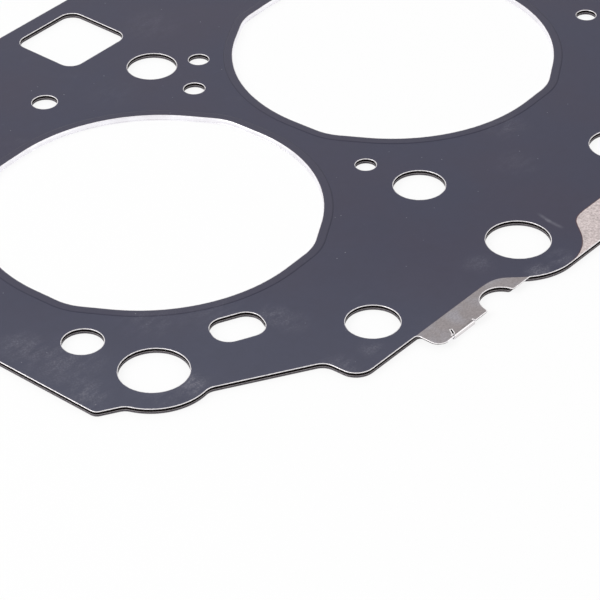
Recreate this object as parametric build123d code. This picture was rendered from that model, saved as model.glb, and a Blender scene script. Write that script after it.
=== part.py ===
from build123d import *
import math
import os

# Cylinder head gasket of a four-cylinder inline engine: a stack of pressed steel sheets.
# Millimetres. X runs along the row of cylinders, Y from the front edge to the rear edge, Z up.
# The origin is the middle of the row, on the underside of the bottom sheet.

# ---- cylinders -------------------------------------------------------------------------
bore_count = 4
bore_r = 48.4  # round part of the hole in the gasket
bore_web = 11.2  # metal between two neighbouring holes
relief_turn = 16.2  # degrees from the row of cylinders to the first of the hole's blunt corners
relief_span = 13.6  # degrees from a corner to where its straight sides leave the circle
relief_r = 16.0

# ---- sheets and rings ------------------------------------------------------------------
coated_t = 0.3  # top and bottom sheet
core_t = 0.6
sheet_gap = 0.2  # air between the core and each coated sheet
ring_w = 2.1
land_h = 0.1  # the coated sheets step this far outwards over the rings
land_over = 0.3  # the flat land is this much wider than the ring
crease_w = 0.5  # sloping step between the land and the rest of the sheet

# ---- head bolts ------------------------------------------------------------------------
bolt_r = 7.4
bolt_out = 2.9  # bolt rows outside the cylinders' edge
bolt_squeeze = 2.3  # the bolts' pitch along the row is this much less than the cylinders'
end_bolt_out = 6.0  # end bolts outside the edge of the end cylinders
dowel_r = 9.45  # front end bolts in their locating sleeves

# ---- coolant and oil holes -------------------------------------------------------------
web_front_r = 3.0
web_rear_r = 3.15
web_port_in = 15.5  # holes in the webs, inside the line of the cylinders' edge
web_port_squeeze = 0.9  # their pitch along the row is this much less than the cylinders'
vent_r = 3.05
vent_in = 5.5  # inside the line of the cylinders' edge
vent_shift = 11.7  # from the inner bolts, towards the middle
feed_r = 3.75
feed_out = 14.0  # outside the line of the cylinders' edge
feed_shift = 21.5  # from the end cylinders, towards the middle
end_port_r = 5.65
end_port_gap = 23.0  # from the row of dowels, towards the rear
end_port_shift = 2.7  # from the end bolts, away from the middle
front_port_r = 7.4
front_port_in = 12.8  # inside the front edge
front_port_shift = 2.3  # from the end cylinders, away from the middle
slot_l = 14.7
slot_w = 11.0
slot_corner_r = 4.7
slot_out = 13.3  # middle of the slot, outside the edge of the end cylinder
slot_turn = 64.5  # degrees from the row of cylinders
window_l = 24.8
window_w = 24.2
window_corner_r = 4.2
window_in = 17.7  # middle of the window, inside the rear edge
window_shift = 3.8  # from the inner bolts, away from the middle
drain_r = 9.0
drain_in = 5.7  # inside the front edge
drain_shift = 4.1  # from the inner bolts, away from the middle

# ---- outline of the sheets -------------------------------------------------------------
rear_margin = 50.6  # rear edge outside the line of the cylinders' edge
front_margin = 46.5  # front edge outside the line of the cylinders' edge
end_margin = 22.7  # end edges outside the end bolts
rear_bevel = 37.0
rear_corner_r = 12.0
front_bevel_l = 53.2
front_bevel_h = 32.1
bevel_corner_r = 2.5
step_h = 11.2  # from the foot of a front bevel to the front edge
step_lean = 0.5
step_top_r = 4.5
step_foot_r = 5.5
dowel_rim = 6.95  # lobe round each dowel
drain_rim = 8.7  # lobe round each drain hole
lobe_neck_r = 4.0  # hollow where a lobe meets the edge

# ---- tab and strips along the front edge ---------------------------------------------------
strip_l = 45.8  # from each drain hole, towards the middle
strip_corner_r = 4.0
strip_neck_r = 3.0
tab_l = 51.9  # from the left drain hole, away from the middle
tab_d = 7.95  # out of the front edge
tab_corner_r = 3.0
tab_neck_r = 1.2
notch_r = 6.0
notch_gap = 25.4  # from the drain hole
notch_mouth_r = 1.0
shoulder_in = 0.7  # between the notch and the lobe the tab is this much shorter

# ---- tongue of the top sheet, folded round the tab of the lower sheets ---------------------
tongue_l = 8.5
tongue_gap = 41.4  # from the drain hole to its middle
tongue_flat = 3.8  # flat length under the bottom sheet
tongue_play = 0.05  # between the tongue and the bottom sheet
fold_play = 0.3  # the lower sheets end this far inside the bend
shear_w = 0.1  # cut at the plain end of the tongue
slit_w = 0.5  # slanted slit at its other end
slit_l = 3.0
slit_turn = 32.0  # degrees
seat_rim = 0.4  # the raised seat in the bottom sheet is this much larger than the tongue
seat_slope_w = 0.6

# ---- heights ---------------------------------------------------------------------------
core_z = coated_t + sheet_gap
top_z = core_z + core_t + sheet_gap
ring_z = coated_t - land_h
ring_h = top_z + land_h - ring_z

# ---- places ----------------------------------------------------------------------------
sides = (-1, 1)
bore_pitch = 2 * bore_r + bore_web
bore_x = [(i - (bore_count - 1) / 2) * bore_pitch for i in range(bore_count)]
web_rank = [i - (bore_count - 2) / 2 for i in range(bore_count - 1)]
bolt_x = [rank * (bore_pitch - bolt_squeeze) for rank in web_rank]
web_port_x = [rank * (bore_pitch - web_port_squeeze) for rank in web_rank]
end_bore_x = bore_x[-1]
inner_bolt_x = bolt_x[-1]
end_bolt_x = end_bore_x + bore_r + end_bolt_out
end_x = end_bolt_x + end_margin
drain_x = inner_bolt_x + drain_shift

bolt_y = bore_r + bolt_out
rear_y = bore_r + rear_margin
front_y = -bore_r - front_margin
bevel_foot_y = front_y + step_h
drain_y = front_y + drain_in
strip_y = drain_y - drain_r - drain_rim
tab_y = front_y - tab_d

fold_r = (top_z - sheet_gap + tongue_play) / 2  # inside of the tongue's bend
fold_y = tab_y + fold_r + coated_t
fold_z = top_z - fold_r
tab_inset = fold_y + fold_play - tab_y  # of the lower sheets
tongue_x = -drain_x - tongue_gap
tongue_from = tongue_x - tongue_l / 2
tongue_to = tongue_x + tongue_l / 2


def rounded(sketch, places, radius):
    """Round the corner that is nearest to each place."""
    corners = [sketch.vertices().sort_by_distance((x, y, 0))[0] for x, y in places]
    return fillet(corners, radius)


def block(x_from, x_to, y_from, y_to):
    """Rectangle between two corners."""
    middle = Pos((x_from + x_to) / 2, (y_from + y_to) / 2)
    return middle * Rectangle(abs(x_to - x_from), abs(y_to - y_from))


def bore_outline(margin=0.0):
    """Hole over one cylinder, grown by a margin: a circle with four blunt corners."""
    radius = bore_r + margin
    span = math.radians(relief_span)
    tip = radius / math.cos(span)
    side_x = radius * math.cos(span)
    side_y = radius * math.sin(span)
    corner = Polygon((0, 0), (side_x, -side_y), (tip, 0), (side_x, side_y), align=None)
    corners = [place * corner for place in PolarLocations(0, 4, relief_turn)]
    outline = Sketch() + Circle(radius) + corners
    tips = [v for v in outline.vertices() if math.hypot(v.X, v.Y) > (radius + tip) / 2]
    return fillet(tips, relief_r + margin)


def bore_outlines(margin=0.0):
    return [Pos(x, 0) * bore_outline(margin) for x in bore_x]


def add_lobe(sketch, x, y, radius):
    """Add a round lobe about a hole and hollow its two necks."""
    sketch += Pos(x, y) * Circle(radius)
    necks = [v for v in sketch.vertices() if math.isclose(math.dist((x, y), (v.X, v.Y)), radius)]
    return fillet(necks, lobe_neck_r)


def plain_outline():
    """Edge of the gasket without the tab and the strips, the same at both ends."""
    bevel_foot_x = end_x - front_bevel_l
    left = [
        (rear_bevel - end_x, rear_y, rear_corner_r),
        (-end_x, rear_y - rear_bevel, rear_corner_r),
        (-end_x, bevel_foot_y + front_bevel_h, bevel_corner_r),
        (-bevel_foot_x, bevel_foot_y, step_top_r),
        (step_lean - bevel_foot_x, front_y, step_foot_r),
    ]
    corners = left + [(-x, y, radius) for x, y, radius in reversed(left)]
    points = [(x, y) for x, y, _ in corners]
    edge = FilletPolyline(*points, radius=[radius for _, _, radius in corners], close=True)
    outline = Sketch() + make_face(edge)
    for side in sides:
        outline = add_lobe(outline, side * end_bolt_x, -bolt_y, dowel_r + dowel_rim)
        outline = add_lobe(outline, side * drain_x, drain_y, drain_r + drain_rim)
    return outline


def sheet_outline(inset=0.0):
    """Edge of a sheet with the strips and the tab, which can be set in."""
    strip_end = drain_x - strip_l
    tab_end = -drain_x - tab_l + inset
    tab_edge = tab_y + inset
    shoulder = tab_edge + shoulder_in
    notch_x = -drain_x - notch_gap
    outline = plain_outline() + block(tab_end, notch_x, tab_edge, drain_y)
    outline += block(notch_x, -drain_x, shoulder, drain_y)
    outline += [block(side * strip_end, side * drain_x, strip_y, drain_y) for side in sides]
    outline -= Pos(notch_x, tab_y) * Circle(notch_r)
    outline = rounded(outline, [(side * strip_end, strip_y) for side in sides], strip_corner_r)
    outline = rounded(outline, [(side * strip_end, front_y) for side in sides], strip_neck_r)
    outline = rounded(outline, [(tab_end, tab_edge)], tab_corner_r)
    outline = rounded(outline, [(tab_end, front_y)], tab_neck_r)
    notch_mouth = [(notch_x - notch_r, tab_edge), (notch_x + notch_r, shoulder)]
    return rounded(outline, notch_mouth, notch_mouth_r)


def both_ends(x, y, shape, turn=0.0):
    """The shape at x, and its mirror image at -x."""
    return [Pos(side * x, y) * Rot(0, 0, side * turn) * shape for side in sides]


def holes():
    """Holes that pass through every sheet, without the cylinders."""
    slot_reach = bore_r + slot_out
    slot_x = end_bore_x + slot_reach * math.cos(math.radians(slot_turn))
    slot_y = -slot_reach * math.sin(math.radians(slot_turn))
    web_port_y = bore_r - web_port_in
    bolt = Circle(bolt_r)
    cuts = [Pos(x, side * bolt_y) * bolt for x in bolt_x for side in sides]
    cuts += [Pos(x, web_port_y) * Circle(web_rear_r) for x in web_port_x]
    cuts += [Pos(x, -web_port_y) * Circle(web_front_r) for x in web_port_x]
    front_port = Circle(front_port_r)
    front_port_y = front_y + front_port_in
    cuts += [Pos(x, front_port_y) * front_port for x in bore_x[1:-1]]
    cuts += both_ends(end_bore_x + front_port_shift, front_port_y, front_port)
    cuts += both_ends(end_bolt_x, bolt_y, bolt)
    cuts += both_ends(end_bolt_x, -bolt_y, Circle(dowel_r))
    cuts += both_ends(end_bolt_x + end_port_shift, end_port_gap - bolt_y, Circle(end_port_r))
    cuts += both_ends(inner_bolt_x - vent_shift, bore_r - vent_in, Circle(vent_r))
    cuts += both_ends(end_bore_x - feed_shift, bore_r + feed_out, Circle(feed_r))
    cuts += both_ends(drain_x, drain_y, Circle(drain_r))
    slot = RectangleRounded(slot_l, slot_w, slot_corner_r)
    cuts += both_ends(slot_x, slot_y, slot, 90 - slot_turn)
    window = RectangleRounded(window_l, window_w, window_corner_r)
    cuts += both_ends(inner_bolt_x + window_shift, rear_y - window_in, window)
    return cuts


def frustum(foot, crown, z, height):
    """Solid between a flat outline at z and a smaller one, height above it or below."""
    return loft([Pos(0, 0, z) * foot.face(), Pos(0, 0, z + height) * crown.face()], ruled=True)


def land_steps(z, height):
    """Low solids the size of the lands, one for each cylinder."""
    foot = bore_outline(ring_w + land_over + crease_w)
    step = frustum(foot, bore_outline(ring_w + land_over), z, height)
    return [Pos(x, 0, 0) * step for x in bore_x]


def coated_sheet(outline, z, height):
    """Thin sheet from z upwards, with lands that step up or down by the height."""
    faces = (z + coated_t, z) if height > 0 else (z, z + coated_t)
    outer_face, inner_face = faces
    sheet = Pos(0, 0, z) * extrude(outline - holes(), coated_t)
    sheet = sheet + land_steps(outer_face, height) - land_steps(inner_face, height)
    cut_z = z - abs(height)
    cut_h = coated_t + 2 * abs(height)
    return sheet - [Pos(0, 0, cut_z) * extrude(bore, cut_h) for bore in bore_outlines()]


def tongue():
    """Bend and flange that hold the three sheets together."""
    outer_r = fold_r + coated_t
    bend = Circle(outer_r) - Circle(fold_r) - block(0, outer_r, -outer_r, outer_r)
    flange = block(0, tongue_flat, -outer_r, -fold_r)
    profile = Plane.YZ * Pos(fold_y, fold_z) * (bend + flange)
    return Pos(tongue_from, 0, 0) * extrude(profile, tongue_l)


def top_sheet():
    """Sheet with the folded tongue and the slit beside it."""
    outline = sheet_outline()
    outline -= block(tongue_from - slit_w, tongue_to + shear_w, tab_y, fold_y)
    slit = Rot(0, 0, -slit_turn) * Pos(0, slit_l / 2) * Rectangle(slit_w, slit_l)
    outline -= Pos(tongue_from - slit_w / 2, tab_y) * slit
    return coated_sheet(outline, top_z, land_h) + tongue()


def core_sheet():
    """Bare sheet that carries the rings."""
    outline = sheet_outline(tab_inset) - holes() - bore_outlines(ring_w)
    return Pos(0, 0, core_z) * extrude(outline, core_t)


def tongue_seat(z):
    """Low solid the size of the seat that lifts the bottom sheet against the core."""
    crown_from = tongue_from - seat_rim
    crown_to = tongue_to + seat_rim
    crown_rear = fold_y + tongue_flat + seat_rim
    foot_from = crown_from - seat_slope_w
    foot_to = crown_to + seat_slope_w
    foot = block(foot_from, foot_to, tab_y - seat_slope_w, crown_rear + seat_slope_w)
    crown = block(crown_from, crown_to, tab_y, crown_rear)
    return frustum(foot, crown, z, sheet_gap)


def bottom_sheet():
    """Sheet with the seat that the tongue grips."""
    outline = sheet_outline(tab_inset)
    seat = tongue_seat(coated_t) & extrude(outline, core_z)
    return coated_sheet(outline, 0.0, -land_h) + seat - tongue_seat(0.0)


def bore_ring(x):
    """Ring in the core round one cylinder, clamped between the two lands."""
    outline = bore_outline(ring_w) - bore_outline()
    return Pos(x, 0, ring_z) * extrude(outline, ring_h)


pieces = {
    "top_sheet": top_sheet(),
    "core_sheet": core_sheet(),
    "bottom_sheet": bottom_sheet(),
}
for number, x in enumerate(bore_x, 1):
    pieces[f"bore_ring_{number}"] = bore_ring(x)

os.makedirs("parts", exist_ok=True)
for name, piece in pieces.items():
    export_step(piece, f"parts/{name}.step")
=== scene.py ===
"""Looks of a cylinder head gasket: a stack of pressed, coated steel sheets on a pale floor."""

import logging
import math
from collections.abc import Callable, Mapping, Sequence
from dataclasses import dataclass, field
from enum import Enum
from typing import Any

import bmesh
import bpy
from mathutils import Matrix, Vector
from mathutils.kdtree import KDTree

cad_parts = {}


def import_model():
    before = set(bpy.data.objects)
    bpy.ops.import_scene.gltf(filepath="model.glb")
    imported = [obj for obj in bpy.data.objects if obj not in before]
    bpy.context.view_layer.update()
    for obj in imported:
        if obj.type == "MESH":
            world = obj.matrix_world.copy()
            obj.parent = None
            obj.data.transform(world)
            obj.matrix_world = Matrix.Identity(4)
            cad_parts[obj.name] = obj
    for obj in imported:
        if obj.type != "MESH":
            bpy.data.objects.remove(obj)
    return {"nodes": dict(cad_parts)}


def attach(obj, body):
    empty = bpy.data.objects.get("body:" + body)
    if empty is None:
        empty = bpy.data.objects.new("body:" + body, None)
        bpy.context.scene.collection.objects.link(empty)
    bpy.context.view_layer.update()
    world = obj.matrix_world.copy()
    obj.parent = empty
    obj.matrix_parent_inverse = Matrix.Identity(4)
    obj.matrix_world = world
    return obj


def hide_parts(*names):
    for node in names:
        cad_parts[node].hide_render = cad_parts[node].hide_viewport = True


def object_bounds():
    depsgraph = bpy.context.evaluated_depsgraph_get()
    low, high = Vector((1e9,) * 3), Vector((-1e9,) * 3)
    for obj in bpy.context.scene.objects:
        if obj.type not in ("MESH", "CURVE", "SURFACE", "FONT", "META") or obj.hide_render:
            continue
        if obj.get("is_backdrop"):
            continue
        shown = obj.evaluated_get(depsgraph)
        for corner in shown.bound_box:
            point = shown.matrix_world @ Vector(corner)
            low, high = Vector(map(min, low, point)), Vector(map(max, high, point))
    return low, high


log = logging.getLogger("gasket")

MM = 0.001
MERGE = 2e-6  # points and heights closer than this are one
MEAN_NOISE = 0.5
Triple = tuple[float, float, float]
Colour = Triple


# ---- shader maths ----------------------------------------------------------------------


class Signal:
    """A value in a shader, with arithmetic that adds Math nodes."""

    def __init__(self, graph: "Graph", socket: bpy.types.NodeSocket) -> None:
        """Wrap one output socket.

        Args:
            graph: The graph that the socket belongs to.
            socket: The output socket.
        """
        self.graph = graph
        self.socket = socket

    def math(self, operation: str, *others: "Signal | float") -> "Signal":
        """Return a Math node's result for this value and the others."""
        values = dict(enumerate((self, *others)))
        return self.graph.node("ShaderNodeMath", {"operation": operation}, values)

    def __add__(self, other: "Signal | float") -> "Signal":
        """Return the sum."""
        return self.math("ADD", other)

    def __radd__(self, other: float) -> "Signal":
        """Return the sum, reflected."""
        return self.math("ADD", other)

    def __sub__(self, other: "Signal | float") -> "Signal":
        """Return the difference."""
        return self.math("SUBTRACT", other)

    def __rsub__(self, other: float) -> "Signal":
        """Return the difference, reflected."""
        return self.graph.number(other).math("SUBTRACT", self)

    def __mul__(self, other: "Signal | float") -> "Signal":
        """Return the product."""
        return self.math("MULTIPLY", other)

    def __rmul__(self, other: float) -> "Signal":
        """Return the product, reflected."""
        return self.math("MULTIPLY", other)

    def __abs__(self) -> "Signal":
        """Return the size without the sign."""
        return self.math("ABSOLUTE")

    def between(self, low: float, high: float) -> "Signal":
        """Return a smooth change from 0 at low to 1 at high.

        Args:
            low: The value that gives 0.
            high: The value that gives 1; it may be the smaller of the two.

        Returns:
            The smoothed value, from 0 to 1.
        """
        settings = {"interpolation_type": "SMOOTHSTEP"}
        if low <= high:
            values = {"Value": self, "From Min": low, "From Max": high}
            return self.graph.node("ShaderNodeMapRange", settings, values)
        values = {"Value": self, "From Min": high, "From Max": low, "To Min": 1.0, "To Max": 0.0}
        return self.graph.node("ShaderNodeMapRange", settings, values)


Value = Signal | float | Sequence[float]


class Graph:
    """The node tree of one material, with one method that adds any node."""

    def __init__(self, tree: bpy.types.NodeTree) -> None:
        """Empty the tree.

        Args:
            tree: The tree of a material or a world.
        """
        self.tree = tree
        tree.nodes.clear()

    def node(
        self,
        kind: str,
        settings: Mapping[str, Any] | None = None,
        values: Mapping[int | str, Value] | None = None,
        output: int | str = 0,
    ) -> Signal:
        """Add a node.

        Args:
            kind: The node's type.
            settings: Its properties, set first.
            values: The numbers or links of its sockets.
            output: The socket that the result comes from.

        Returns:
            The node's output.
        """
        made = self.tree.nodes.new(kind)
        for name, setting in (settings or {}).items():
            setattr(made, name, setting)
        for name, value in (values or {}).items():
            if isinstance(value, Signal):
                self.tree.links.new(value.socket, made.inputs[name])
            else:
                made.inputs[name].default_value = value
        return Signal(self, made.outputs[output]) if made.outputs else Signal(self, None)

    def number(self, value: float) -> Signal:
        """Return a constant that takes part in maths."""
        return self.node("ShaderNodeMath", {"operation": "ADD"}, {0: value, 1: 0.0})

    def blend(self, factor: Signal, low: Value, high: Value) -> Signal:
        """Return a colour mixed from two by a factor."""
        values = {0: factor, 6: self._colour(low), 7: self._colour(high)}
        return self.node("ShaderNodeMix", {"data_type": "RGBA"}, values, 2)

    def shaded(self, colour: Value, strength: Signal) -> Signal:
        """Return a colour scaled by a strength."""
        values = {0: colour, "Scale": strength}
        return self.node("ShaderNodeVectorMath", {"operation": "SCALE"}, values)

    @staticmethod
    def _colour(value: Value) -> Value:
        """Return a colour with its alpha."""
        return value if isinstance(value, Signal) else (*value, 1.0)

    def place(self) -> Signal:
        """Return the place on the object, in metres."""
        return self.node("ShaderNodeTexCoord", output="Object")

    def axis(self, place: Signal, name: str) -> Signal:
        """Return one coordinate of a place."""
        return self.node("ShaderNodeSeparateXYZ", values={0: place}, output=name)

    def turned(self, place: Signal, degrees: float, scale: Triple) -> Signal:
        """Return a place turned about Z and stretched, for streaks."""
        values = {"Vector": place, "Rotation": (0.0, 0.0, math.radians(degrees)), "Scale": scale}
        return self.node("ShaderNodeMapping", values=values)

    def stretched(self, place: Signal, scale: Triple) -> Signal:
        """Return a place scaled by different amounts along its axes."""
        return self.node("ShaderNodeMapping", values={"Vector": place, "Scale": scale})

    def noise(self, place: Signal, size: float, detail: float = 2.0) -> Signal:
        """Return cloudy noise.

        Args:
            place: Where it is read.
            size: The size of one cloud in metres.
            detail: The number of finer layers.

        Returns:
            The noise, about 0.5 on average.
        """
        values = {"Vector": place, "Scale": 1.0 / size, "Detail": detail}
        return self.node("ShaderNodeTexNoise", {"noise_dimensions": "3D"}, values, "Fac")

    def specks(self, place: Signal, size: float) -> Signal:
        """Return the distance to the nearest of many scattered points, in cells of that size."""
        values = {"Vector": place, "Scale": 1.0 / size}
        return self.node("ShaderNodeTexVoronoi", {"feature": "F1"}, values, "Distance")

    def bump(self, height: Signal, depth: float, strength: float) -> Signal:
        """Return a normal roughened by a height."""
        values = {"Height": height, "Distance": depth, "Strength": strength}
        return self.node("ShaderNodeBump", values=values)

    def surface(self, values: Mapping[str, Value]) -> None:
        """End the graph in a Principled shader with these sockets."""
        shader = self.node("ShaderNodeBsdfPrincipled", values=values)
        self.node("ShaderNodeOutputMaterial", values={"Surface": shader})


# ---- finishes --------------------------------------------------------------------------


@dataclass(frozen=True)
class Smudge:
    """A pale rub mark on the coat, in millimetres."""

    x: float
    y: float
    radius: float
    strength: float


@dataclass(frozen=True)
class Scratch:
    """A straight pale scratch on the coat, in millimetres and degrees."""

    x: float
    y: float
    turn: float
    length: float
    width: float
    strength: float
    fade_in: float = 2.5
    fade_out: float = 2.0

    def measure(self, x: Signal, y: Signal) -> tuple[Signal, Signal]:
        """Return how far a place is along the scratch and beside it.

        Args:
            x: The place along the cylinders.
            y: The place from front to rear.

        Returns:
            Both distances in metres.
        """
        across, along = math.cos(math.radians(self.turn)), math.sin(math.radians(self.turn))
        dx, dy = x - self.x * MM, y - self.y * MM
        return dx * across + dy * along, dy * across - dx * along


@dataclass(frozen=True)
class SteelFinish:
    """Bare rolled steel, with fine grain and pale clouds."""

    name: str
    colour: Colour = (0.42, 0.395, 0.39)
    cloud: Colour = (0.47, 0.47, 0.50)
    roughness: float = 0.36
    grain: float = 0.30 * MM
    contrast: float = 0.9
    grain_depth: float = 0.004 * MM
    grain_strength: float = 0.35
    grain_turn: float = 8.0
    grain_stretch: Triple = (0.45, 1.0, 1.0)
    cloud_size: float = 6.0 * MM
    cloud_from: float = 0.35
    cloud_to: float = 0.7
    cloud_rough: float = 0.06
    grain_rough: float = 0.12

    def look(self, graph: Graph, place: Signal) -> tuple[Signal, Signal, Signal]:
        """Return the colour, roughness and grain height at a place.

        Args:
            graph: The material's nodes.
            place: The place on the object.

        Returns:
            The colour, the roughness and the height of the grain.
        """
        clouds = graph.noise(place, self.cloud_size, 3.0).between(self.cloud_from, self.cloud_to)
        drawn = graph.turned(place, self.grain_turn, self.grain_stretch)
        grain = graph.noise(drawn, self.grain, 3.0)
        colour = graph.blend(clouds, self.colour, self.cloud)
        colour = graph.shaded(colour, grain * self.contrast + (1.0 - self.contrast / 2.0))
        middle = self.roughness - (self.cloud_rough + self.grain_rough) / 2.0
        roughness = clouds * self.cloud_rough + grain * self.grain_rough + middle
        return colour, roughness, grain

    def material(self) -> bpy.types.Material:
        """Make the material.

        Returns:
            The new material.
        """
        made = bpy.data.materials.new(self.name)
        made.use_nodes = True
        graph = Graph(made.node_tree)
        colour, roughness, grain = self.look(graph, graph.place())
        graph.surface(
            {
                "Base Color": colour,
                "Roughness": roughness,
                "Metallic": 1.0,
                "Normal": graph.bump(grain, self.grain_depth, self.grain_strength),
            }
        )
        return made


@dataclass(frozen=True)
class ShearedFinish:
    """Cut edge of a sheet: a bright burnished band, and torn steel below and above it, painted
    nearly black as painted shade for the gaps between sheets.
    """

    name: str
    bright: Colour = (0.93, 0.90, 0.91)
    # Painted shade, nearly black, for the gaps between sheets and the shadow under the stack.
    painted_shade: Colour = (0.007, 0.0055, 0.0055)
    band_from: float = 1.45 * MM
    band_to: float = 1.80 * MM
    metal: float = 0.5
    roughness: float = 0.30
    specular: float = 0.03
    streak: float = 0.5 * MM
    streak_stretch: Triple = (1.0, 1.0, 0.15)
    streak_contrast: float = 0.5
    streak_rough: float = 0.2
    streak_depth: float = 0.01 * MM
    streak_strength: float = 0.3
    raggedness: float = 0.10 * MM
    blur: float = 0.03 * MM

    def material(self) -> bpy.types.Material:
        """Make the material.

        Returns:
            The new material.
        """
        made = bpy.data.materials.new(self.name)
        made.use_nodes = True
        graph = Graph(made.node_tree)
        place = graph.place()
        height = graph.axis(place, "Z")
        along = graph.noise(graph.stretched(place, self.streak_stretch), self.streak, 2.0)
        ragged = height + (along - MEAN_NOISE) * self.raggedness
        above = ragged.between(self.band_from - self.blur, self.band_from + self.blur)
        band = above * ragged.between(self.band_to + self.blur, self.band_to - self.blur)
        tone = along * self.streak_contrast + (1.0 - self.streak_contrast / 2.0)
        # Outside the burnished band the colour is painted shade.
        graph.surface(
            {
                "Base Color": graph.shaded(graph.blend(band, self.painted_shade, self.bright), tone),
                "Roughness": along * self.streak_rough + (self.roughness - self.streak_rough / 2.0),
                "Metallic": band * self.metal,
                "Specular IOR Level": self.specular,
                "Normal": graph.bump(along, self.streak_depth, self.streak_strength),
            }
        )
        return made


@dataclass(frozen=True)
class CoatEdge:
    """The line where the coat ends: straight along the front, and round the two lobes."""

    front_y: float = -94.9 * MM
    lobe_x: float = 109.8 * MM
    lobe_y: float = -89.2 * MM
    lobe_r: float = 17.7 * MM
    outer_fillet: float = 9.0 * MM
    inner_fillet: float = 7.5 * MM
    change: float = 2.0 * MM  # the outer side gives way to the inner over this, each way

    def distance(self, graph: Graph, x: Signal, y: Signal) -> Signal:
        """Return how far a place is outside the coat, in metres; it is less than 0 inside.

        Args:
            graph: The material's nodes; not used.
            x: Its coordinate along the cylinders.
            y: Its coordinate from front to rear.

        Returns:
            The distance.
        """
        side = abs(x) - self.lobe_x
        rise = y - self.lobe_y
        lobe = (side * side + rise * rise).math("SQRT") - self.lobe_r
        beyond = side.between(-self.change, self.change)
        fillet = beyond * (self.outer_fillet - self.inner_fillet)
        return (self.front_y - y).math("SMOOTH_MIN", lobe, fillet + self.inner_fillet)


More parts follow.
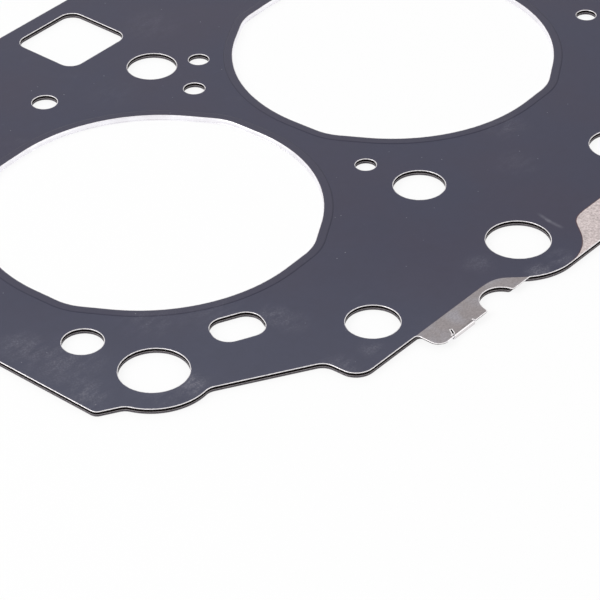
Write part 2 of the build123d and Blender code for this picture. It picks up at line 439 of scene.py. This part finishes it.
@dataclass(frozen=True)
class CoatFinish:
    """Thin satin coat on a sheet's face; past its line the steel is bare."""

    name: str
    colour: Colour = (0.043, 0.044, 0.074)
    warm: Colour = (0.046, 0.043, 0.070)
    handled: Colour = (0.062, 0.065, 0.097)
    pale: Colour = (0.200, 0.197, 0.235)
    land: Colour = (0.050, 0.047, 0.072)
    # Painted shade on the slope up to each raised land, in place of the crease's own shading.
    crease_shade: Colour = (0.016, 0.016, 0.026)
    # Bare steel where the coat wears off along a cut edge, made bright as a painted highlight of
    # the rolled edge; on the top sheet's bend it is a painted reflection of the floor.
    rim: Colour = (0.72, 0.69, 0.70)
    line: Colour = (0.090, 0.045, 0.050)
    dust: Colour = (0.35, 0.35, 0.38)
    strip: Colour = (0.37, 0.32, 0.315)
    # How strongly the edge wear and its painted highlight show.
    wear_and_highlight_level: float = 0.8
    # How much of the sheet below bend_top is painted bright: a painted reflection on the tongue's
    # bend.
    bend_reflection_share: float = 0.0
    roughness: float = 0.45
    specular: float = 0.10
    steel: SteelFinish = SteelFinish(
        "bare steel", colour=(0.165, 0.148, 0.150), cloud=(0.20, 0.19, 0.205)
    )
    edge: CoatEdge = CoatEdge()
    smudges: tuple[Smudge, ...] = ()
    scratches: tuple[Scratch, ...] = ()
    land_z: float = 1.65 * MM
    land_blur: float = 0.03 * MM
    land_share: float = 0.6
    crease_shade_from: float = 0.045 * MM  # below land_z
    crease_shade_to: float = 0.025 * MM
    crease_shade_share: float = 0.6
    line_middle: float = 0.1 * MM  # inside the end of the coat
    line_outside: float = 0.22 * MM
    line_inside: float = 0.08 * MM
    line_share: float = 0.1
    strip_line_share: float = 0.7
    speckle: float = 0.6 * MM
    speckle_contrast: float = 1.2
    speckle_base: float = 0.38
    # Heights between which the tongue's bend turns to the painted reflection.
    bend_top: float = 1.58 * MM
    bend_foot: float = 1.35 * MM
    texture: float = 0.35 * MM
    texture_depth: float = 0.004 * MM
    texture_strength: float = 0.25
    end_blur: float = 0.05 * MM
    end_raggedness: float = 0.12 * MM
    end_noise: float = 0.5 * MM
    rim_noise: float = 0.9 * MM
    rim_raggedness: float = 0.5
    rim_from: float = 0.2
    rim_to: float = 0.7
    rim_gloss: float = 0.1
    cloud_size: float = 34.0 * MM
    cloud_from: float = 0.3
    cloud_to: float = 0.7
    mottle: float = 3.2 * MM
    mottle_contrast: float = 0.16
    mottle_rough: float = 0.08
    rubbed_share: float = 0.55
    rubbed_rough: float = 0.08
    dust_cell: float = 2.6 * MM
    dust_from: float = 0.075
    dust_to: float = 0.045
    dust_patch: float = 9.0 * MM
    dust_patch_from: float = 0.56
    dust_patch_to: float = 0.66
    dust_share: float = 0.6
    handled_from: float = 150.0 * MM
    handled_to: float = 290.0 * MM
    handled_slope: float = 0.6
    handled_noise: float = 40.0 * MM
    handled_raggedness: float = 60.0 * MM
    rub_cloud: float = 15.0 * MM
    rub_from: float = 0.62
    rub_to: float = 0.9
    rub_level: float = 0.3
    wipe_turn: float = 35.0
    wipe_stretch: Triple = (0.4, 1.0, 1.0)
    wipe_size: float = 2.0 * MM
    wipe_from: float = 0.25
    wipe_to: float = 0.75
    fine_size: float = 0.45 * MM
    fine_from: float = 0.40
    fine_to: float = 0.68
    fine_contrast: float = 1.1
    fine_base: float = 0.45
    scratch_noise: float = 1.1 * MM
    scratch_base: float = 0.3

    def material(self) -> bpy.types.Material:
        """Make the material.

        Returns:
            The new material.
        """
        made = bpy.data.materials.new(self.name)
        made.use_nodes = True
        graph = Graph(made.node_tree)
        place = graph.place()
        x, y, z = (graph.axis(place, name) for name in "XYZ")
        distance = self.edge.distance(graph, x, y)
        bare = self._bare(graph, place, distance)
        coat, coat_roughness = self._coat(graph, place, x, y, z)
        lobe, change = self.edge.lobe_x, self.edge.change
        strip = abs(x).between(lobe + change, lobe - change)
        line = abs(distance + self.line_middle).between(self.line_outside, self.line_inside)
        stained = strip * self.strip_line_share + self.line_share
        coat = graph.blend(line * stained, coat, self.line)
        steel, steel_roughness, grain = self.steel.look(graph, place)
        speckled = graph.noise(place, self.speckle, 1.0)
        speckle = speckled * self.speckle_contrast + self.speckle_base
        steel = graph.blend(strip, steel, graph.shaded(self.strip, speckle))
        # Painted highlight along the cut edges, laid over the real wear, and a painted reflection
        # on the tongue's bend.
        bend = z.between(self.bend_top, self.bend_foot)
        rim = self._edge_wear_and_highlight(graph, place).math("MAXIMUM", bend * self.bend_reflection_share)
        texture = graph.noise(place, self.texture, 2.0)
        height = texture * (1.0 - bare) + grain * bare
        roughness = coat_roughness + (steel_roughness - coat_roughness) * bare
        graph.surface(
            {
                "Base Color": graph.blend(rim, graph.blend(bare, coat, steel), self.rim),
                "Roughness": roughness - rim * self.rim_gloss,
                "Metallic": bare.math("MAXIMUM", rim),
                "Specular IOR Level": self.specular,
                "Normal": graph.bump(height, self.texture_depth, self.texture_strength),
            }
        )
        return made

    def _bare(self, graph: Graph, place: Signal, distance: Signal) -> Signal:
        """Return 1 where the steel is bare and 0 under the coat."""
        ragged = (graph.noise(place, self.end_noise, 2.0) - MEAN_NOISE) * self.end_raggedness
        return (distance + ragged).between(-self.end_blur, self.end_blur)

    def _edge_wear_and_highlight(self, graph: Graph, place: Signal) -> Signal:
        """Return where the coat wears through beside a cut edge, a strip that is also painted
        bright as a highlight.

        Args:
            graph: The material's nodes.
            place: The place on the object.

        Returns:
            The wear and painted highlight, from 0 to wear_and_highlight_level.
        """
        rim = graph.node("ShaderNodeAttribute", {"attribute_name": "rim"}, output="Fac")
        cloud = graph.noise(place, self.rim_noise, 3.0) - MEAN_NOISE
        ragged = rim + cloud * self.rim_raggedness
        return ragged.between(self.rim_from, self.rim_to) * self.wear_and_highlight_level

    def _coat(
        self, graph: Graph, place: Signal, x: Signal, y: Signal, z: Signal
    ) -> tuple[Signal, Signal]:
        """Return the coat's colour and roughness.

        Args:
            graph: The material's nodes.
            place: The place on the object.
            x: Its coordinate along the cylinders.
            y: Its coordinate from front to rear.
            z: Its height.

        Returns:
            The colour and the roughness.
        """
        cloud = graph.noise(place, self.cloud_size, 2.0).between(self.cloud_from, self.cloud_to)
        mottle = graph.noise(place, self.mottle, 3.0)
        colour = graph.blend(cloud, self.colour, self.warm)
        colour = graph.blend(self._handled(graph, place, x, y), colour, self.handled)
        rise = abs(z)
        land = rise.between(self.land_z - self.land_blur, self.land_z + self.land_blur)
        colour = graph.blend(land * self.land_share, colour, self.land)
        # Painted shade: the slope just below the land is darkened where the crease falls into
        # shade.
        low, high = self.land_z - self.crease_shade_from, self.land_z - self.crease_shade_to
        crease_shade = rise.between(low, high) * (1.0 - land)
        colour = graph.blend(crease_shade * self.crease_shade_share, colour, self.crease_shade)
        tone = mottle * self.mottle_contrast + (1.0 - self.mottle_contrast / 2.0)
        colour = graph.shaded(colour, tone)
        rubbed = self._rubbed(graph, place, x, y)
        colour = graph.blend(rubbed * self.rubbed_share, colour, self.pale)
        specks = graph.specks(place, self.dust_cell).between(self.dust_from, self.dust_to)
        patches = graph.noise(place, self.dust_patch, 1.0)
        few = patches.between(self.dust_patch_from, self.dust_patch_to)
        colour = graph.blend(specks * few * self.dust_share, colour, self.dust)
        middle = self.roughness - self.mottle_rough / 2.0
        roughness = mottle * self.mottle_rough + middle + rubbed * self.rubbed_rough
        return colour, roughness

    def _handled(self, graph: Graph, place: Signal, x: Signal, y: Signal) -> Signal:
        """Return how far the coat is dulled by handling, towards the ends and the front.

        Args:
            graph: The material's nodes.
            place: The place on the object.
            x: Its coordinate along the cylinders.
            y: Its coordinate from front to rear.

        Returns:
            The dulling, from 0 to 1.
        """
        cloud = graph.noise(place, self.handled_noise, 2.0) - MEAN_NOISE
        reach = abs(x) - y * self.handled_slope + cloud * self.handled_raggedness
        return reach.between(self.handled_from, self.handled_to)

    def _rubbed(self, graph: Graph, place: Signal, x: Signal, y: Signal) -> Signal:
        """Return how far the coat is rubbed pale.

        Args:
            graph: The material's nodes.
            place: The place on the object.
            x: Its coordinate along the cylinders.
            y: Its coordinate from front to rear.

        Returns:
            The share of the pale colour; it may pass 1.
        """
        clouds = graph.noise(place, self.rub_cloud, 3.0)
        total = clouds.between(self.rub_from, self.rub_to) * self.rub_level
        for smudge in self.smudges:
            across = x - smudge.x * MM
            along = y - smudge.y * MM
            away = (across * across + along * along).math("SQRT")
            total = total + away.between(smudge.radius * MM, 0.0) * smudge.strength
        wiped = graph.turned(place, self.wipe_turn, self.wipe_stretch)
        soft = graph.noise(wiped, self.wipe_size, 4.0).between(self.wipe_from, self.wipe_to)
        fine = graph.noise(place, self.fine_size, 2.0).between(self.fine_from, self.fine_to)
        streaks = soft * (fine * self.fine_contrast + self.fine_base)
        return total * streaks + self._scratched(graph, place, x, y)

    def _scratched(self, graph: Graph, place: Signal, x: Signal, y: Signal) -> Signal:
        """Return where the coat is scratched.

        Args:
            graph: The material's nodes.
            place: The place on the object.
            x: Its coordinate along the cylinders.
            y: Its coordinate from front to rear.

        Returns:
            The strength of the scratches.
        """
        total = graph.number(0.0)
        for scratch in self.scratches:
            run, off = scratch.measure(x, y)
            fade = (scratch.length - scratch.fade_out) * MM
            ends = run.between(0.0, scratch.fade_in * MM) * run.between(scratch.length * MM, fade)
            wide = abs(off).between(scratch.width * MM, 0.0)
            total = total + ends * wide * scratch.strength
        return total * (graph.noise(place, self.scratch_noise, 2.0) + self.scratch_base)


@dataclass(frozen=True)
class FloorFinish:
    """Plain pale floor that keeps the shadow of what lies on it."""

    name: str = "pale floor"
    colour: Colour = (0.9, 0.9, 0.9)
    own_light: float = 0.86
    cloud_size: float = 0.3
    contrast: float = 0.02

    def material(self) -> bpy.types.Material:
        """Make the material.

        Returns:
            The new material.
        """
        made = bpy.data.materials.new(self.name)
        made.use_nodes = True
        graph = Graph(made.node_tree)
        place = graph.place()
        cloud = graph.noise(place, self.cloud_size, 2.0)
        level = cloud * self.contrast + (1.0 - self.contrast / 2.0)
        tone = graph.shaded(self.colour, level)
        matt = graph.node("ShaderNodeBsdfDiffuse", values={"Color": tone})
        glow = graph.node("ShaderNodeEmission", values={"Color": (1, 1, 1, 1), "Strength": 1.0})
        seen = seen_rays(graph) * self.own_light
        mixed = graph.node("ShaderNodeMixShader", values={0: seen, 1: matt, 2: glow})
        graph.node("ShaderNodeOutputMaterial", values={"Surface": mixed})
        return made


def seen_rays(graph: Graph) -> Signal:
    """Return 1 for rays that show a background: straight, mirrored and passed through glass.

    Args:
        graph: The nodes of a material or a world.

    Returns:
        1 for such rays and 0 for others.
    """
    camera, glossy, passed = (
        graph.node("ShaderNodeLightPath", output=name)
        for name in ("Is Camera Ray", "Is Glossy Ray", "Is Transmission Ray")
    )
    return camera.math("MAXIMUM", glossy).math("MAXIMUM", passed)


# ---- shaping helpers -------------------------------------------------------------------


class Side(Enum):
    """The side of a sheet that faces out of the stack."""

    UP = 1
    DOWN = -1
    NONE = 0


def deselect_all() -> None:
    """Leave no object selected."""
    bpy.ops.object.select_all(action="DESELECT")


def make_active(piece: bpy.types.Object) -> None:
    """Select one object alone.

    Args:
        piece: The object.
    """
    deselect_all()
    piece.select_set(True)
    bpy.context.view_layer.objects.active = piece


def merged_copy(body: bpy.types.Object, name: str) -> bpy.types.Object:
    """Copy a body's mesh to a new piece and join its loose triangles.

    Args:
        body: The body.
        name: The piece's name.

    Returns:
        The new piece, selected and in object mode.
    """
    mesh = body.data.copy()
    mesh.name = name
    mesh.materials.clear()
    piece = bpy.data.objects.new(name, mesh)
    bpy.context.scene.collection.objects.link(piece)
    make_active(piece)
    bpy.ops.object.mode_set(mode="EDIT")
    bpy.ops.mesh.select_all(action="SELECT")
    bpy.ops.mesh.remove_doubles(threshold=MERGE)
    bpy.ops.mesh.customdata_custom_splitnormals_clear()
    bpy.ops.object.mode_set(mode="OBJECT")
    return piece


class Element(Enum):
    """What a selection is made of, by the name of its list in a mesh."""

    FACE = "faces"
    EDGE = "edges"


def select(piece: bpy.types.Object, kind: Element, wanted: Callable[[Any], bool]) -> int:
    """Select in edit mode the faces or edges that pass a test.

    Args:
        piece: The piece, which is in edit mode.
        kind: Faces or edges.
        wanted: The test.

    Returns:
        The number that passed.
    """
    bpy.ops.mesh.select_mode(type=kind.name)
    bpy.ops.mesh.select_all(action="DESELECT")
    shape = bmesh.from_edit_mesh(piece.data)
    chosen = [element for element in getattr(shape, kind.value) if wanted(element)]
    for element in chosen:
        element.select_set(True)
    bmesh.update_edit_mesh(piece.data)
    return len(chosen)


def fold(edge: bmesh.types.BMEdge) -> float:
    """Return the angle between an edge's two faces, in degrees."""
    return math.degrees(edge.calc_face_angle(0.0))


def is_level(edge: bmesh.types.BMEdge) -> bool:
    """Tell whether both ends of an edge are at one height."""
    return abs(edge.verts[0].co.z - edge.verts[1].co.z) < MERGE


@dataclass
class ArcSmoother:
    """Divides the chords of a mesh's round edges and sets the new points on their arcs."""

    cuts: int = 2
    least_bulge: float = 0.01 * MM
    least_fold: float = 5.0
    unevenness: float = 0.03  # neighbouring chords of one arc differ by less than this share
    deepest: float = 0.125  # an arc's bulge is a smaller share of its chord
    touch: float = 1e-6

    def smooth(self, piece: bpy.types.Object) -> int:
        """Smooth a piece that is in edit mode.

        Args:
            piece: The piece.

        Returns:
            The number of chords that were divided.
        """
        shape = bmesh.from_edit_mesh(piece.data)
        shape.edges.ensure_lookup_table()
        rims = {e for e in shape.edges if is_level(e) and fold(e) > self.least_fold}
        moves: list[tuple[Vector, Vector]] = []
        chords: set[int] = set()
        for edge in rims:
            centre = self._centre(edge, rims)
            if centre is None:
                continue
            chords.add(edge.index)
            moves += self._moves(edge, centre)
        if not chords:
            return 0
        select(piece, Element.EDGE, lambda edge: edge.index in chords)
        bpy.ops.mesh.subdivide(number_cuts=self.cuts)
        self._apply(piece, moves)
        return len(chords)

    def _centre(self, edge: bmesh.types.BMEdge, rims: set[bmesh.types.BMEdge]) -> Vector | None:
        """Return the centre of the arc that an edge is a chord of, if it is one.

        Args:
            edge: The edge.
            rims: The level, sharp edges of the piece.

        Returns:
            The centre, or None.
        """
        start, end = edge.verts
        for near, far in ((start, end), (end, start)):
            others = [e for e in near.link_edges if e in rims and e is not edge]
            if len(others) != 1:
                continue
            beyond = others[0].other_vert(near)
            if abs(others[0].calc_length() / edge.calc_length() - 1.0) > self.unevenness:
                continue
            centre = circle_centre(beyond.co, near.co, far.co)
            if centre is None:
                continue
            radius = (centre - near.co).length
            bulge = radius - math.sqrt(max(radius**2 - (edge.calc_length() / 2) ** 2, 0.0))
            if self.least_bulge < bulge < edge.calc_length() * self.deepest:
                return centre
        return None

    def _moves(self, edge: bmesh.types.BMEdge, centre: Vector) -> list[tuple[Vector, Vector]]:
        """Return the points that divide a chord, each with its place on the arc.

        Args:
            edge: The chord.
            centre: The arc's centre.

        Returns:
            Pairs of a point on the chord and one on the arc.
        """
        start, end = (vertex.co for vertex in edge.verts)
        radius = (start - centre).length
        found = []
        for step in range(1, self.cuts + 1):
            flat = start.lerp(end, step / (self.cuts + 1))
            found.append((flat, centre + (flat - centre).normalized() * radius))
        return found

    def _apply(self, piece: bpy.types.Object, moves: list[tuple[Vector, Vector]]) -> None:
        """Move the new vertices.

        Args:
            piece: The piece, which is in edit mode.
            moves: Pairs of a point on a chord and one on its arc.
        """
        tree = KDTree(len(moves))
        for index, (flat, _) in enumerate(moves):
            tree.insert(flat, index)
        tree.balance()
        shape = bmesh.from_edit_mesh(piece.data)
        for vertex in shape.verts:
            _, index, away = tree.find(vertex.co)
            if away < self.touch:
                vertex.co = moves[index][1]
        bmesh.update_edit_mesh(piece.data)


def circle_centre(first: Vector, middle: Vector, last: Vector) -> Vector | None:
    """Return the centre of the level circle through three points, or None on a line.

    Args:
        first: The first point.
        middle: The point between the others.
        last: The last point.

    Returns:
        The centre, at the middle point's height, or None.
    """
    straight = 1e-12
    ax, ay = first.x - middle.x, first.y - middle.y
    bx, by = last.x - middle.x, last.y - middle.y
    cross = 2.0 * (ax * by - ay * bx)
    if abs(cross) < straight:
        return None
    a, b = ax * ax + ay * ay, bx * bx + by * by
    x = middle.x + (by * a - ay * b) / cross
    y = middle.y + (ax * b - bx * a) / cross
    return Vector((x, y, middle.z))


# ---- pieces ----------------------------------------------------------------------------


@dataclass
class Tongue:
    """Where the top sheet folds round the front edge of the tab."""

    x_from: float = -155.45 * MM
    x_to: float = -146.95 * MM
    axis_y: float = -101.875 * MM
    axis_z: float = 0.925 * MM
    slit_reach: float = 2.6 * MM
    slit_length: float = 3.2 * MM
    slack: float = 0.01 * MM
    side_tilt: float = 0.5  # a normal that leans further along X is the tongue's own side

    def near(self, place: Vector) -> bool:
        """Tell whether a place is on the tongue or at the slits that free it."""
        inside = self.x_from - self.slit_reach < place.x < self.x_to + self.slit_reach
        return inside and place.y < self.axis_y + self.slit_length

    def holds(self, face: bmesh.types.BMFace) -> bool:
        """Tell whether a face is on the outer skin of the bend or the flange.

        Args:
            face: The face.

        Returns:
            True on that skin.
        """
        place, normal = face.calc_center_median(), face.normal
        if not self.x_from < place.x < self.x_to or abs(normal.x) > self.side_tilt:
            return False
        if place.y > self.axis_y + self.slack:
            return normal.z < -self.side_tilt and place.z < 0.0
        outward = Vector((0.0, place.y - self.axis_y, place.z - self.axis_z))
        return outward.dot(normal) > 0.0


@dataclass
class PressedPiece:
    """One sheet or ring of the stack, with its edges rounded.

    Its three materials are for its faces, its cut edges, and its cut edges over the cylinders.
    """

    body: bpy.types.Object
    name: str
    slot: str
    materials: tuple[bpy.types.Material, bpy.types.Material, bpy.types.Material]
    side: Side = Side.NONE
    tongue: Tongue | None = None
    rim_width: float = 0.34 * MM
    edge_round: float = 0.12 * MM
    edge_steps: int = 3
    cylinders: tuple[float, ...] = (-162.0, -54.0, 54.0, 162.0)  # in millimetres
    bore_reach: float = 50.0 * MM
    stack_middle: float = 0.8 * MM
    wall_tilt: float = 0.3  # the normal of a wall leans less than this up or down
    cut_tilt: float = 0.93  # with its rounded edges
    outer_tilt: float = 0.5  # that of an outer face leans more
    flat_tilt: float = 0.9999
    least_fold: float = 60.0
    smooth_angle: float = 35.0
    dissolve_angle: float = 0.2
    arcs: ArcSmoother = field(default_factory=ArcSmoother)

    def build(self) -> bpy.types.Object:
        """Build the piece, dress it and tie it to the body it stands for.

        Returns:
            The finished piece.
        """
        piece = merged_copy(self.body, self.name)
        for material in self.materials:
            piece.data.materials.append(material)
        bpy.ops.object.mode_set(mode="EDIT")
        select(piece, Element.FACE, self._is_wall)
        bpy.ops.mesh.dissolve_limited(angle_limit=math.radians(self.dissolve_angle))
        chords = self.arcs.smooth(piece)
        if self.side is not Side.NONE:
            self._mark_rim(piece)
        self._round_edges(piece)
        self._paint_walls(piece)
        bpy.ops.object.mode_set(mode="OBJECT")
        self._smooth(piece)
        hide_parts(self.body.name)
        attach(piece, "root")
        triangles = sum(len(face.vertices) - 2 for face in piece.data.polygons)
        log.info("%s: %d chords rounded, %d triangles", self.name, chords, triangles)
        return piece

    def _is_wall(self, face: bmesh.types.BMFace) -> bool:
        """Tell whether a face is a cut edge."""
        skin = self.tongue is not None and self.tongue.holds(face)
        return abs(face.normal.z) < self.wall_tilt and not skin

    def _is_round(self, edge: bmesh.types.BMEdge) -> bool:
        """Tell whether an edge is rounded: a level one, and clear of the tongue."""
        near = self.tongue is not None and any(self.tongue.near(v.co) for v in edge.verts)
        return fold(edge) > self.least_fold and is_level(edge) and not near

    def _is_outer(self, face: bmesh.types.BMFace) -> bool:
        """Tell whether a face is on the side that faces out of the stack.

        Args:
            face: The face.

        Returns:
            True on that side, and on the tongue's outer skin.
        """
        if self.tongue and self.tongue.holds(face):
            return True
        outer = face.normal.z * self.side.value > self.outer_tilt
        height = face.calc_center_median().z - self.stack_middle
        return outer and height * self.side.value > 0.0

    def _paint_walls(self, piece: bpy.types.Object) -> None:
        """Give the cut edges their own finish, and those over the cylinders another.

        Args:
            piece: The piece, which is in edit mode.
        """
        shape = bmesh.from_edit_mesh(piece.data)
        for face in shape.faces:
            skin = self.tongue is not None and self.tongue.holds(face)
            cut = abs(face.normal.z) < self.cut_tilt and not skin
            place = face.calc_center_median()
            away = min(math.dist((place.x, place.y), (x * MM, 0.0)) for x in self.cylinders)
            slit = self.tongue is not None and self.tongue.near(place)
            burnished = away < self.bore_reach or slit
            face.material_index = 0 if not cut else 2 if burnished else 1
        bmesh.update_edit_mesh(piece.data)

    def _mark_rim(self, piece: bpy.types.Object) -> None:
        """Inset the outer face and mark its border, where the coat wears first and where a painted
        highlight goes.

        Args:
            piece: The piece, which is in edit mode.
        """
        count = select(piece, Element.FACE, self._is_outer)
        bpy.ops.mesh.inset(thickness=self.rim_width, use_boundary=True, use_even_offset=True)
        shape = bmesh.from_edit_mesh(piece.data)
        rim = shape.verts.layers.float.new("rim")
        inner = {vertex for face in shape.faces if face.select for vertex in face.verts}
        for face in shape.faces:
            if face.select or not self._is_outer(face):
                continue
            for vertex in face.verts:
                vertex[rim] = 0.0 if vertex in inner else 1.0
        bmesh.update_edit_mesh(piece.data)
        log.info("%s: %d outer faces", self.name, count)

    def _round_edges(self, piece: bpy.types.Object) -> None:
        """Round the cut edges a little."""
        select(piece, Element.EDGE, self._is_round)
        bpy.ops.mesh.bevel(offset=self.edge_round, segments=self.edge_steps, affect="EDGES")

    def _smooth(self, piece: bpy.types.Object) -> None:
        """Shade round parts smooth and flat parts flat.

        Args:
            piece: The piece, which is in object mode.
        """
        make_active(piece)
        bpy.ops.object.shade_smooth_by_angle(angle=math.radians(self.smooth_angle))
        for face in piece.data.polygons:
            if abs(face.normal.z) > self.flat_tilt:
                face.use_smooth = False


@dataclass
class Gasket:
    """The whole stack: two coated sheets, the core and the four rings."""

    bodies: Mapping[str, bpy.types.Object]
    rings: int = 4
    smudges: tuple[Smudge, ...] = (
        Smudge(-215.0, -63.0, 6.0, 1.0),
        Smudge(-219.0, -60.0, 14.0, 0.4),
        Smudge(-235.0, -45.0, 9.0, 0.7),
        Smudge(-229.0, -31.0, 15.0, 0.5),
        Smudge(-231.0, -17.0, 9.0, 0.6),
        Smudge(-201.0, -36.0, 12.0, 0.28),
        Smudge(-188.0, -46.0, 12.0, 0.25),
        Smudge(-178.5, -59.5, 6.0, 0.7),
        Smudge(-178.0, -65.5, 7.0, 0.4),
        Smudge(-109.5, -104.0, 6.0, 0.7),
        Smudge(-118.5, -103.5, 6.0, 1.0),
        Smudge(-125.5, -88.0, 6.0, 0.4),
        Smudge(-185.0, -88.0, 7.0, 0.8),
        Smudge(-174.0, -89.5, 5.0, 0.5),
        Smudge(-66.0, -52.0, 9.0, 0.3),
        Smudge(-79.5, -65.5, 9.0, 0.2),
        Smudge(-124.0, 50.0, 12.0, 0.12),
        Smudge(-88.0, 68.0, 12.0, 0.25),
        Smudge(176.0, 30.0, 9.0, 0.5),
        Smudge(84.0, -60.0, 8.0, 0.5),
    )
    scratches: tuple[Scratch, ...] = (
        Scratch(-96.1, -85.3, 257.0, 7.0, 0.9, 0.75),
        Scratch(-97.2, -88.5, 266.0, 7.5, 1.0, 0.7),
        Scratch(121.0, 70.0, 35.0, 9.0, 0.35, 0.4),
    )

    def build(self) -> list[bpy.types.Object]:
        """Build every piece.

        Returns:
            The pieces, from the top down.
        """
        # The core's cut edge: its own grey band low down, and painted shade above it, under the top
        # sheet.
        bare = ShearedFinish(
            "core steel",
            bright=(0.46, 0.42, 0.44),
            band_from=0.40 * MM,
            band_to=0.70 * MM,
            metal=0.3,
        )
        # The top sheet's cut edge: painted shade below the burnished band.
        bright = ShearedFinish("sheared edge")
        # The bottom sheet's cut edge: a dim band and painted shade, as if the whole edge lay in the
        # shadow of the stack.
        lower_in_painted_shade = ShearedFinish(
            "lower sheared edge",
            bright=(0.20, 0.18, 0.19),
            band_from=0.16 * MM,
            band_to=0.60 * MM,
            metal=0.3,
        )
        rolled = SteelFinish(
            "rolled ring steel", colour=(0.90, 0.88, 0.92), cloud=(0.97, 0.96, 1.0), contrast=0.15
        )
        top = CoatFinish(
            "top coat", smudges=self.smudges, scratches=self.scratches, bend_reflection_share=1.0
        ).material()
        under = CoatFinish("bottom coat", land_z=0.05 * MM).material()
        core, edge = bare.material(), bright.material()
        painted_shade, ring = lower_in_painted_shade.material(), rolled.material()
        plan = {
            "top_sheet": ("top_coat", (top, edge, ring), Side.UP, Tongue()),
            "core_sheet": ("core_steel", (core, core, core)),
            "bottom_sheet": ("bottom_coat", (under, painted_shade, ring), Side.DOWN),
        }
        for number in range(1, self.rings + 1):
            plan[f"bore_ring_{number}"] = ("ring_steel", (ring, ring, ring))
        return [
            PressedPiece(self.bodies[name], f"{name}_pressed", *dressing).build()
            for name, dressing in plan.items()
        ]


# ---- stage -----------------------------------------------------------------------------


@dataclass(frozen=True)
class SoftLight:
    """A square lamp that points at the middle of the stack."""

    name: str
    place: Triple
    size: float
    power: float
    colour: Colour = (1.0, 1.0, 1.0)


@dataclass
class Studio:
    """Floor, lamps, world and camera."""

    target: Triple = (-0.162, 0.0, 0.0)
    floor_size: float = 12.0
    floor_gap: float = 0.02 * MM
    sensor: float = 36.0
    lens: float = 176.61
    clip_start: float = 0.01
    clip_end: float = 100.0
    camera_place: Triple = (-0.64959, -0.47912, 0.46437)
    pitch: float = 35.99174
    heading: float = 48.96138
    roll: float = -1.27696
    world_level: float = 0.55
    lights: tuple[SoftLight, ...] = (
        SoftLight("key", (-1.3, 0.55, 1.1), 1.2, 16.0),
        SoftLight("fill", (0.5, -1.4, 1.3), 1.6, 7.0),
        SoftLight("back", (0.9, 1.3, 1.2), 1.6, 8.0),
    )

    def build(self, lowest: float) -> None:
        """Set the stage.

        Args:
            lowest: The height of the lowest point of the stack.
        """
        self._floor(lowest)
        self._world()
        for light in self.lights:
            self._lamp(light)
        self._camera()
        bpy.context.scene.view_settings.view_transform = "Standard"

    def _floor(self, lowest: float) -> None:
        """Lay the floor under the stack.

        Args:
            lowest: The height of the lowest point of the stack.
        """
        deselect_all()
        bpy.ops.mesh.primitive_plane_add(size=self.floor_size, location=(0.0, 0.0, 0.0))
        floor = bpy.context.active_object
        floor.name = "floor"
        for vertex in floor.data.vertices:
            vertex.co.z = lowest - self.floor_gap
        floor.data.materials.append(FloorFinish().material())
        floor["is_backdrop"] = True

    def _world(self) -> None:
        """Make the sky pale, and white where it is seen."""
        world = bpy.data.worlds.new("studio")
        world.use_nodes = True
        bpy.context.scene.world = world
        graph = Graph(world.node_tree)
        level = self.world_level
        soft = graph.node("ShaderNodeBackground", values={0: (level, level, level, 1.0)})
        white = graph.node("ShaderNodeBackground", values={0: (1.0, 1.0, 1.0, 1.0)})
        values = {0: seen_rays(graph), 1: soft, 2: white}
        mixed = graph.node("ShaderNodeMixShader", values=values)
        graph.node("ShaderNodeOutputWorld", values={"Surface": mixed})

    def _lamp(self, light: SoftLight) -> None:
        """Hang one lamp.

        Args:
            light: The lamp's place, size, power and colour.
        """
        deselect_all()
        bpy.ops.object.light_add(type="AREA", location=light.place)
        lamp = bpy.context.active_object
        lamp.name = light.name
        lamp.data.size = light.size
        lamp.data.energy = light.power
        lamp.data.color = light.colour
        direction = Vector(self.target) - Vector(light.place)
        lamp.rotation_euler = direction.to_track_quat("-Z", "Y").to_euler()

    def _camera(self) -> None:
        """Place the camera."""
        deselect_all()
        bpy.ops.object.camera_add()
        camera = bpy.context.active_object
        camera.name = "camera"
        camera.data.sensor_width = self.sensor
        camera.data.lens = self.lens
        camera.data.clip_start = self.clip_start
        camera.data.clip_end = self.clip_end
        pitch, heading, roll = (math.radians(v) for v in (self.pitch, self.heading, self.roll))
        level_right = Vector((math.cos(heading), -math.sin(heading), 0.0))
        level_down = -Vector(
            (
                math.sin(pitch) * math.sin(heading),
                math.sin(pitch) * math.cos(heading),
                math.cos(pitch),
            )
        )
        right = math.cos(roll) * level_right - math.sin(roll) * level_down
        up = -(math.sin(roll) * level_right + math.cos(roll) * level_down)
        turn = Matrix((right, up, right.cross(up))).transposed()
        camera.matrix_world = Matrix.Translation(self.camera_place) @ turn.to_4x4()
        bpy.context.scene.camera = camera


def main() -> None:
    """Build the gasket and its stage."""
    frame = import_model()
    frame_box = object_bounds()
    Gasket(frame["nodes"]).build()
    Studio().build(frame_box[0].z)


if __name__ == "__main__":
    logging.basicConfig(level=logging.INFO, format="%(name)s: %(message)s")
    main()
